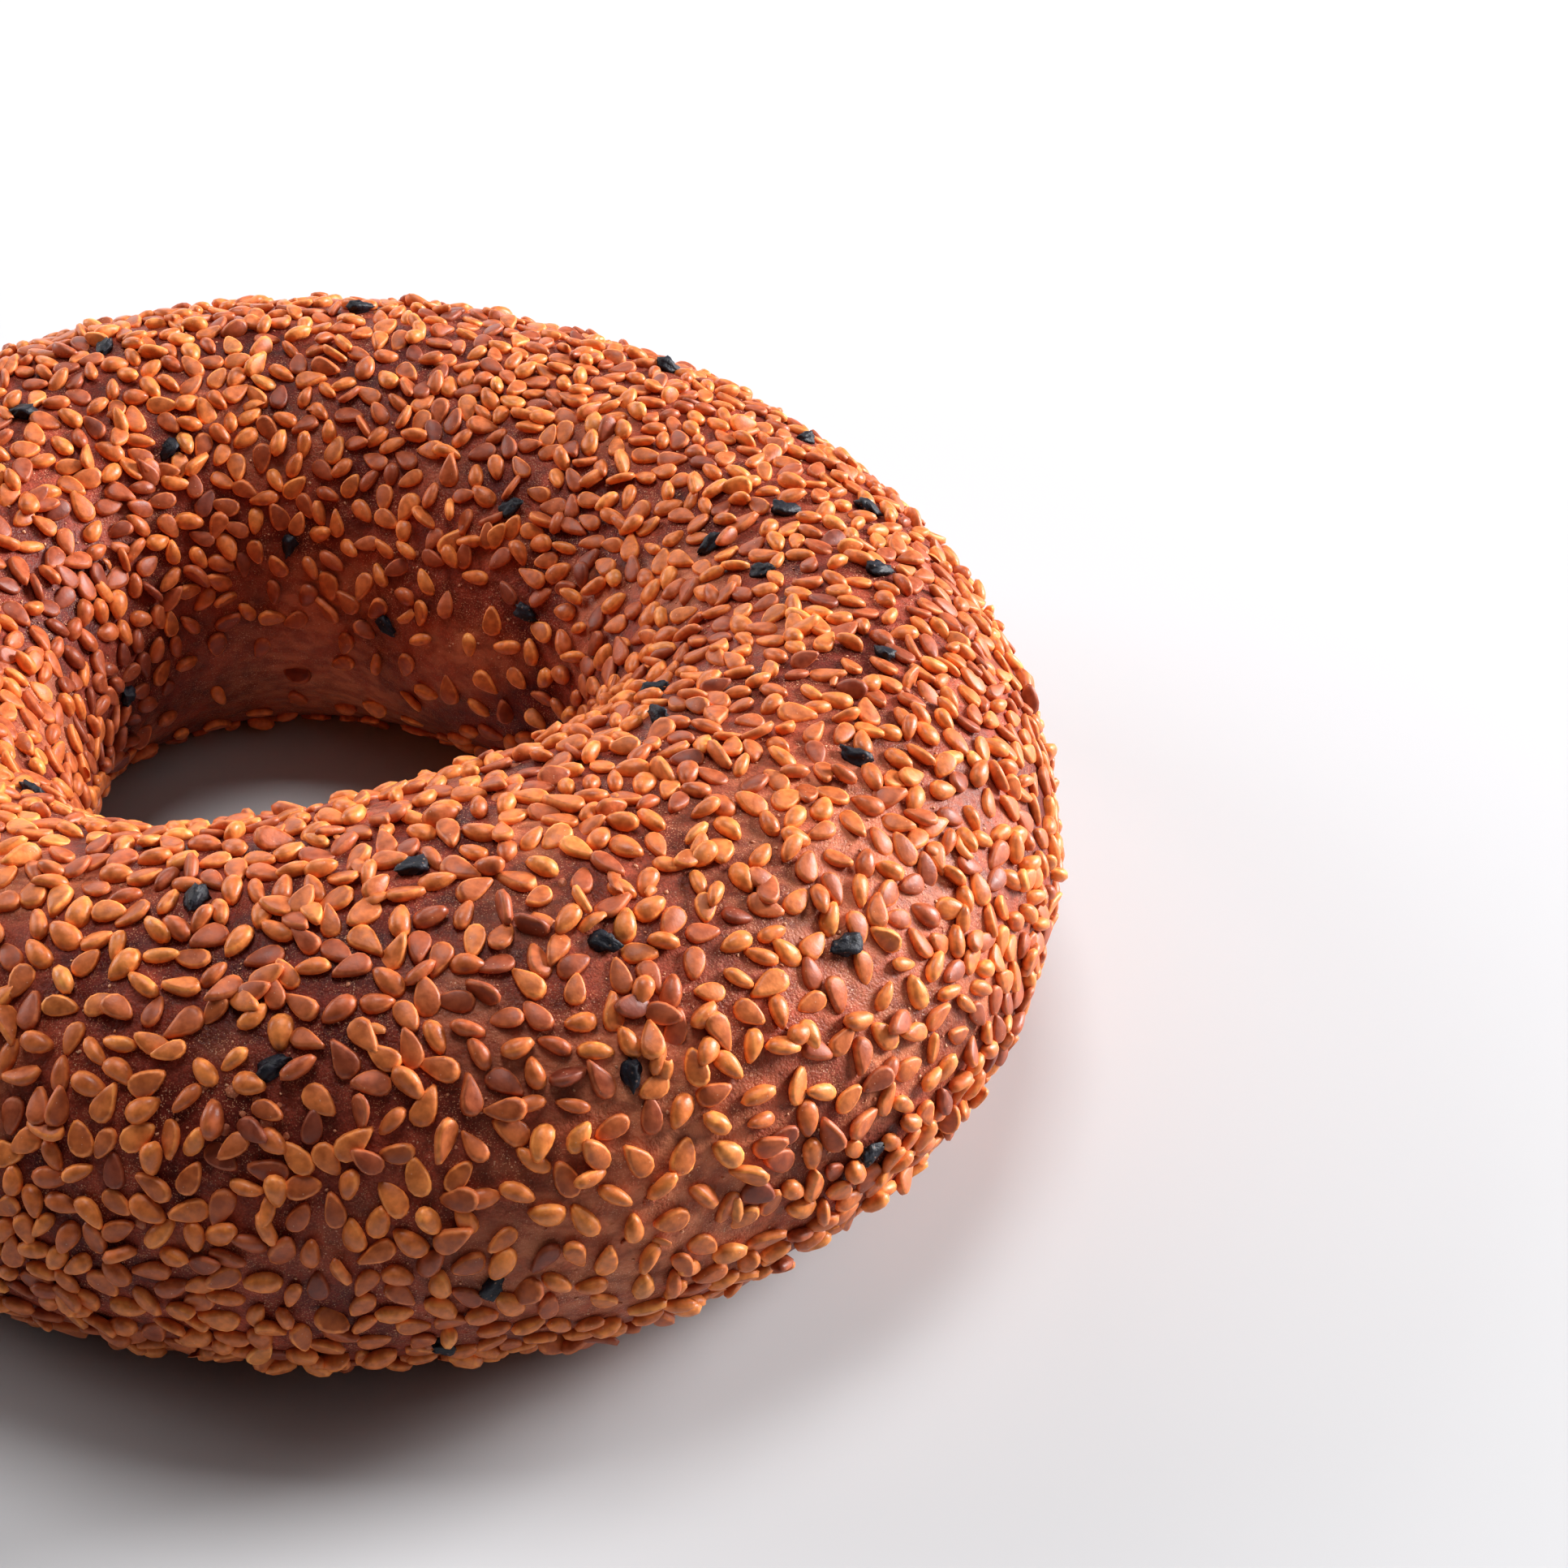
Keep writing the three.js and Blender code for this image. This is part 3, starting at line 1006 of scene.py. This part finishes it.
def makeBlackBody():
    bm = bmesh.new()
    bmesh.ops.create_icosphere(bm, subdivisions=3, radius=0.5)
    shift = Vector(draw.uniform(0, 50, 3))
    for vert in bm.verts:
        around = math.atan2(vert.co.z, vert.co.y)
        ridge = 1 + 0.20 * math.cos(3 * around + shift.x)
        narrow = 1 - 0.70 * (vert.co.x + 0.1)
        wrinkle = 1 + 0.38 * noise.noise(vert.co * 4 + shift) + 0.26 * noise.noise(vert.co * 9 + shift)
        slender = ridge * narrow
        vert.co = Vector((vert.co.x, vert.co.y * slender, vert.co.z * slender)) * wrinkle
    return bodyArrays(bm)


def makeBlackSeeds():
    bodies = [makeBlackBody() for _ in range(blackSeed["bodies"])]
    chosen = np.flatnonzero(seeds["black"])
    count = len(chosen)
    origin, axes = placeOf(seeds, chosen, blackSeed["rise"])
    size = np.array([blackSeed["length"], blackSeed["width"], blackSeed["thickness"]])
    copies = {
        "body": draw.integers(0, blackSeed["bodies"], count), "origin": origin, "axes": axes,
        "scale": size * draw.uniform(0.85, 1.12, (count, 1)),
        "bow": draw.normal(0, 0.3 * mm, count), "curl": draw.normal(0, 0.3 * mm, count),
        "tone": draw.uniform(0, 1, (count, 3)),
    }
    addPiece("blackSeeds", joinCopies("blackSeeds", bodies, copies), blackMaterial)
    print("black seeds joined:", count)


makeBlackSeeds()


# Loose bits on the crust and on the seeds: their number, places and axes. The first lie at the given pixels.
def placeBits(look):
    count = look["count"]
    turn, lift = evenDraws(6 * count)
    high = (lift > -1.2) & (lift < 3.1)
    turn, lift = turn[high][:count], lift[high][:count]
    shown = [atPixel(pixel) for pixel in look["pixels"]]
    turn[:len(shown)] = [spot[0] for spot in shown]
    lift[:len(shown)] = [spot[1] for spot in shown]
    bits = {
        "turn": turn, "lift": lift, "angle": draw.uniform(0, 2 * math.pi, count),
        "lean": draw.normal(0, 0.25, count), "roll": draw.normal(0, 0.25, count), "rise": np.zeros(count),
    }
    return count, *placeOf(bits, np.arange(count), look["rise"])


crumbs = {
    "count": 4200,
    "bodies": 6,
    "size": (0.12 * mm, 0.46 * mm),
    "shape": (1.2, 0.9, 0.55),  # length, width and thickness as shares of the size
    "rise": 0.05 * mm,
    "pixels": [],
}


def makeCrumbBody():
    bm = bmesh.new()
    bmesh.ops.create_icosphere(bm, subdivisions=1, radius=0.5)
    for vert in bm.verts:
        vert.co *= draw.uniform(0.65, 1.25)
    return bodyArrays(bm)


def makeCrumbs():
    count, origin, axes = placeBits(crumbs)
    size = draw.uniform(*crumbs["size"], count) * draw.uniform(0.6, 1.0, count)
    copies = {
        "body": draw.integers(0, crumbs["bodies"], count), "origin": origin, "axes": axes,
        "scale": size[:, None] * np.array(crumbs["shape"]),
        "bow": np.zeros(count), "curl": np.zeros(count), "tone": draw.uniform(0, 1, (count, 3)),
    }
    bodies = [makeCrumbBody() for _ in range(crumbs["bodies"])]
    addPiece("crumbs", joinCopies("crumbs", bodies, copies), crumbMaterial)


husks = {
    "count": 90,
    "bodies": 6,
    "length": 2.3 * mm,
    "width": 1.2 * mm,
    "thickness": 0.09,  # share of the length
    "rise": 0.25 * mm,
    # single ones that the photo shows
    "pixels": [(668, 1140), (800, 1100), (815, 1525), (730, 1140)],
}


# A thin shell, bent over its length and its width
def makeHuskBody():
    bm = bmesh.new()
    bmesh.ops.create_grid(bm, x_segments=7, y_segments=4, size=0.5)
    bendX, bendY = draw.uniform(0.3, 1.1), draw.uniform(0.4, 1.6)
    twist = draw.uniform(-0.6, 0.6)
    for vert in bm.verts:
        x, y = vert.co.x, vert.co.y * (1 - 1.6 * vert.co.x ** 2)
        z = 0.5 - bendX * x * x - bendY * y * y + twist * x * y
        vert.co = Vector((x, y, z)) * draw.uniform(0.95, 1.05)
    bmesh.ops.solidify(bm, geom=bm.faces[:], thickness=husks["thickness"])
    return bodyArrays(bm)


def makeHusks():
    count, origin, axes = placeBits(husks)
    size = np.array([husks["length"], husks["width"], husks["width"]])
    copies = {
        "body": draw.integers(0, husks["bodies"], count), "origin": origin, "axes": axes,
        "scale": size * draw.uniform(0.6, 1.2, (count, 1)),
        "bow": draw.normal(0, 0.4 * mm, count), "curl": draw.normal(0, 0.3 * mm, count),
        "tone": np.stack([draw.uniform(0.45, 1.0, count), draw.uniform(0, 1, count),
                          draw.uniform(0, 1, count)], axis=1),
    }
    bodies = [makeHuskBody() for _ in range(husks["bodies"])]
    addPiece("husks", joinCopies("husks", bodies, copies), seedMaterials["sesameFlat"])


# Small blisters of the crust
blisters = {
    "count": 170,
    "bodies": 4,
    "width": (0.5 * mm, 1.3 * mm),
    "height": 0.45,  # share of the width
    "rise": 0.0,
    "tan": 0.7,
    "pixels": [(252, 1340), (270, 1362), (288, 1345), (300, 1372), (318, 1356), (330, 1384), (278, 1392),
               (306, 1400), (262, 1380), (345, 1362), (800, 1478), (835, 1500), (770, 1530)],
}


def makeBlisterBody():
    bm = bmesh.new()
    bmesh.ops.create_icosphere(bm, subdivisions=2, radius=0.5)
    shift = Vector(draw.uniform(0, 50, 3))
    for vert in bm.verts:
        vert.co *= 1 + 0.35 * noise.noise(vert.co * 2 + shift)
    return bodyArrays(bm)


def makeBlisters():
    count, origin, axes = placeBits(blisters)
    copies = {
        "body": draw.integers(0, blisters["bodies"], count), "origin": origin, "axes": axes,
        "scale": draw.uniform(*blisters["width"], count)[:, None] * np.array([1, 0.9, blisters["height"]]),
        "bow": np.zeros(count), "curl": np.zeros(count), "tone": np.tile([blisters["tan"], 0, 0], (count, 1)),
    }
    bodies = [makeBlisterBody() for _ in range(blisters["bodies"])]
    addPiece("blisters", joinCopies("blisters", bodies, copies, "crustLook"), crustMaterial)


makeCrumbs()
makeHusks()
makeBlisters()
print("loose bits joined")


# Floor and light
floorLook = {
    "halfSize": 2.0,
    "colour": (0.57, 0.57, 0.585, 1),
    "roughness": 0.5,
}


def makeFloor():
    bm = bmesh.new()
    bmesh.ops.create_grid(bm, x_segments=1, y_segments=1, size=floorLook["halfSize"])
    mesh = bpy.data.meshes.new("floor")
    bm.to_mesh(mesh)
    bm.free()
    floor = addObject("floor", mesh)
    material, _, shader, _ = newMaterial("paleFloor", floorLook["roughness"], 0.3)
    shader.inputs["Base Color"].default_value = floorLook["colour"]
    mesh.materials.append(material)


lights = {
    # name: way round from +X and height in degrees, watts, size
    "rightWindow": (22, 20, 36.5, 0.5),
    "leftWindow": (160, 24, 9.5, 0.7),
    "backWindow": (110, 20, 6.5, 0.9),
    "ceiling": (90, 80, 8.5, 0.5),
    "roomFill": (-40, 50, 1.0, 0.9),
}
lightDistance = 1.3
worldLight = {"colour": (0.93, 0.95, 1.0, 1), "strength": 0.02}


def makeLights():
    for name, (way, height, watts, size) in lights.items():
        data = bpy.data.lights.new(name, "AREA")
        data.shape = "SQUARE"
        data.size = size
        data.energy = watts
        light = addObject(name, data)
        way, height = way * degree, height * degree
        out = math.cos(height)
        toLight = Vector((math.cos(way) * out, math.sin(way) * out, math.sin(height)))
        light.location = lightDistance * toLight
        light.rotation_euler = (-light.location).to_track_quat("-Z", "Y").to_euler()
    world = bpy.data.worlds.new("paleRoom")
    world.use_nodes = True
    background = world.node_tree.nodes["Background"]
    background.inputs[0].default_value = worldLight["colour"]
    background.inputs[1].default_value = worldLight["strength"]
    bpy.context.scene.world = world


makeFloor()
makeLights()
bpy.context.scene.view_settings.view_transform = "Standard"
print("floor and lights set")
